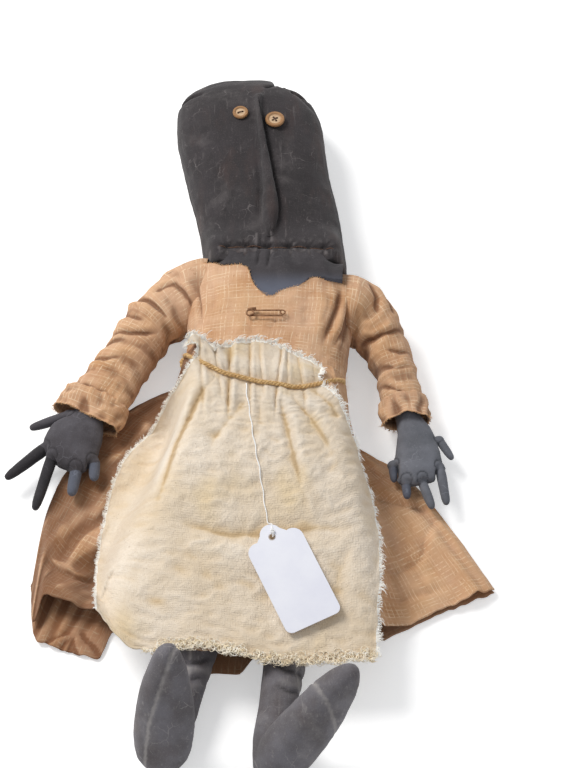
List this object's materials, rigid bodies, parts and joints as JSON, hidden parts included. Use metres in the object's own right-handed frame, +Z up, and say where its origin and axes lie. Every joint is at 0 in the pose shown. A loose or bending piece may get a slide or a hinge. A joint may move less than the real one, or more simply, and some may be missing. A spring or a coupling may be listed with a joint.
{
  "type": "rag doll",
  "caption": "Primitive stuffed rag doll with a long flat face, in a checked dress with a frayed apron, lying on its back; sits up, nods, raises its arms",
  "frame": {"origin": "on the surface that the doll lies on, straight below the middle of the hip axis", "axes": "+Y to the top of the head, +X to the doll's left arm, which is on the right in the picture, +Z up out of the chest"},
  "size_m": [0.3276, 0.5561, 0.0968],
  "materials": {
    "head_cloth": "matt black painted cotton, scuffed",
    "hand_cloth_left": "dark grey painted cotton",
    "hand_cloth_right": "worn grey painted cotton",
    "body_cloth": "grey painted cotton",
    "dress_cloth": "tea-dyed windowpane-check cotton, thin and creased",
    "apron_cloth": "unbleached cotton with frayed edges and stains",
    "rope": "thin twisted jute",
    "eye_thread": "black cotton thread",
    "mouth_thread": "rust-brown cotton thread",
    "tag_string": "white cotton string",
    "eye_button": "satin tan button",
    "pin_wire": "rusted steel wire",
    "tag_card": "smooth white card"
  },
  "bodies": {
    "lap": {"skirt_back": "dress_cloth", "skirt_front": "dress_cloth", "apron": "apron_cloth", "tag_string": "tag_string"},
    "torso": {"torso": "body_cloth", "bodice": "dress_cloth", "rope_belt": "rope", "pin_back": "pin_wire", "pin_guard": "pin_wire"},
    "head": {"head": "head_cloth", "nose": "head_cloth", "mouth_thread": "mouth_thread", "eye_button_left": "eye_button", "eye_button_right": "eye_button", "eye_thread_left": "eye_thread", "eye_thread_right": "eye_thread"},
    "pin_needle": {"pin_needle": "pin_wire"},
    "tag": {"tag": "tag_card"},
    "leg_left": {"leg_left": "body_cloth"},
    "leg_right": {"leg_right": "body_cloth"},
    "arm_left": {"arm_left": "hand_cloth_left", "sleeve_left": "dress_cloth"},
    "hand_left": {"hand_left": "hand_cloth_left"},
    "thumb_left": {"thumb_left": "hand_cloth_left"},
    "index_finger_left": {"index_finger_left": "hand_cloth_left"},
    "middle_finger_left": {"middle_finger_left": "hand_cloth_left"},
    "ring_finger_left": {"ring_finger_left": "hand_cloth_left"},
    "little_finger_left": {"little_finger_left": "hand_cloth_left"},
    "arm_right": {"arm_right": "hand_cloth_right", "sleeve_right": "dress_cloth"},
    "hand_right": {"hand_right": "hand_cloth_right"},
    "thumb_right": {"thumb_right": "hand_cloth_right"},
    "index_finger_right": {"index_finger_right": "hand_cloth_right"},
    "middle_finger_right": {"middle_finger_right": "hand_cloth_right"},
    "ring_finger_right": {"ring_finger_right": "hand_cloth_right"},
    "little_finger_right": {"little_finger_right": "hand_cloth_right"}
  },
  "joints": [
    {"name": "sit_up", "type": "hinge", "parent": "lap", "child": "torso", "pos_m": [0, 0, 0.0285], "axis": [1, 0, 0], "range_deg": [0, 75], "deforming": ["skirt_front", "apron", "tag_string"]},
    {"name": "neck_nod", "type": "hinge", "parent": "torso", "child": "head", "pos_m": [0, 0.14, 0.027], "axis": [1, 0, 0], "range_deg": [-8, 14]},
    {"name": "pin_open", "type": "hinge", "parent": "torso", "child": "pin_needle", "pos_m": [0.01144, 0.1096, 0.06324], "axis": [0, 0, 1], "range_deg": [0, 35]},
    {"name": "tag_swing", "type": "hinge", "parent": "lap", "child": "tag", "pos_m": [0.0047, -0.0583, 0.05118], "axis": [0, -0.1373, 0.9905], "range_deg": [-25, 25]},
    {"name": "leg_left_splay", "type": "hinge", "parent": "lap", "child": "leg_left", "pos_m": [-0.0235, -0.04259, 0.019], "axis": [0, 0, -1], "range_deg": [-4, 12]},
    {"name": "leg_right_splay", "type": "hinge", "parent": "lap", "child": "leg_right", "pos_m": [0.0235, -0.04259, 0.019], "axis": [0, 0, 1], "range_deg": [-4, 12]},
    {"name": "shoulder_left", "type": "hinge", "parent": "torso", "child": "arm_left", "pos_m": [-0.05633, 0.151, 0.0265], "axis": [-1, 0, 0], "range_deg": [0, 110]},
    {"name": "wrist_left", "type": "hinge", "parent": "arm_left", "child": "hand_left", "pos_m": [-0.11935, 0.05992, 0.0175], "axis": [0, 0, 1], "range_deg": [-15, 15]},
    {"name": "thumb_left_bend", "type": "hinge", "parent": "hand_left", "child": "thumb_left", "pos_m": [-0.13545, 0.0557, 0.01622], "axis": [-0.3488, 0.9372, 0], "range_deg": [0, 45]},
    {"name": "index_finger_left_bend", "type": "hinge", "parent": "hand_left", "child": "index_finger_left", "pos_m": [-0.15085, 0.02892, 0.016], "axis": [-0.6722, 0.7404, 0], "range_deg": [0, 45]},
    {"name": "middle_finger_left_bend", "type": "hinge", "parent": "hand_left", "child": "middle_finger_left", "pos_m": [-0.14518, 0.02077, 0.01608], "axis": [-0.9752, 0.2213, 0], "range_deg": [0, 45]},
    {"name": "ring_finger_left_bend", "type": "hinge", "parent": "hand_left", "child": "ring_finger_left", "pos_m": [-0.12785, 0.01192, 0.016], "axis": [-0.9901, 0.1402, 0], "range_deg": [0, 45]},
    {"name": "little_finger_left_bend", "type": "hinge", "parent": "hand_left", "child": "little_finger_left", "pos_m": [-0.11585, 0.01792, 0.016], "axis": [-0.9985, -0.0539, 0], "range_deg": [0, 45]},
    {"name": "shoulder_right", "type": "hinge", "parent": "torso", "child": "arm_right", "pos_m": [0.06187, 0.139, 0.0265], "axis": [-1, 0, 0], "range_deg": [0, 110]},
    {"name": "wrist_right", "type": "hinge", "parent": "arm_right", "child": "hand_right", "pos_m": [0.09498, 0.05743, 0.0175], "axis": [0, 0, 1], "range_deg": [-15, 15]},
    {"name": "thumb_right_bend", "type": "hinge", "parent": "hand_right", "child": "thumb_right", "pos_m": [0.11818, 0.03597, 0.016], "axis": [-0.8661, -0.4999, 0], "range_deg": [0, 45]},
    {"name": "index_finger_right_bend", "type": "hinge", "parent": "hand_right", "child": "index_finger_right", "pos_m": [0.11763, 0.01379, 0.01619], "axis": [-0.9917, -0.1285, 0], "range_deg": [0, 45]},
    {"name": "middle_finger_right_bend", "type": "hinge", "parent": "hand_right", "child": "middle_finger_right", "pos_m": [0.10511, 0.00339, 0.01613], "axis": [-0.9483, -0.3174, 0], "range_deg": [0, 45]},
    {"name": "ring_finger_right_bend", "type": "hinge", "parent": "hand_right", "child": "ring_finger_right", "pos_m": [0.09417, 0.00271, 0.0157], "axis": [-0.9989, -0.0474, 0], "range_deg": [0, 45]},
    {"name": "little_finger_right_bend", "type": "hinge", "parent": "hand_right", "child": "little_finger_right", "pos_m": [0.0857, 0.01602, 0.016], "axis": [-0.9986, -0.0522, 0], "range_deg": [0, 45]}
  ]
}
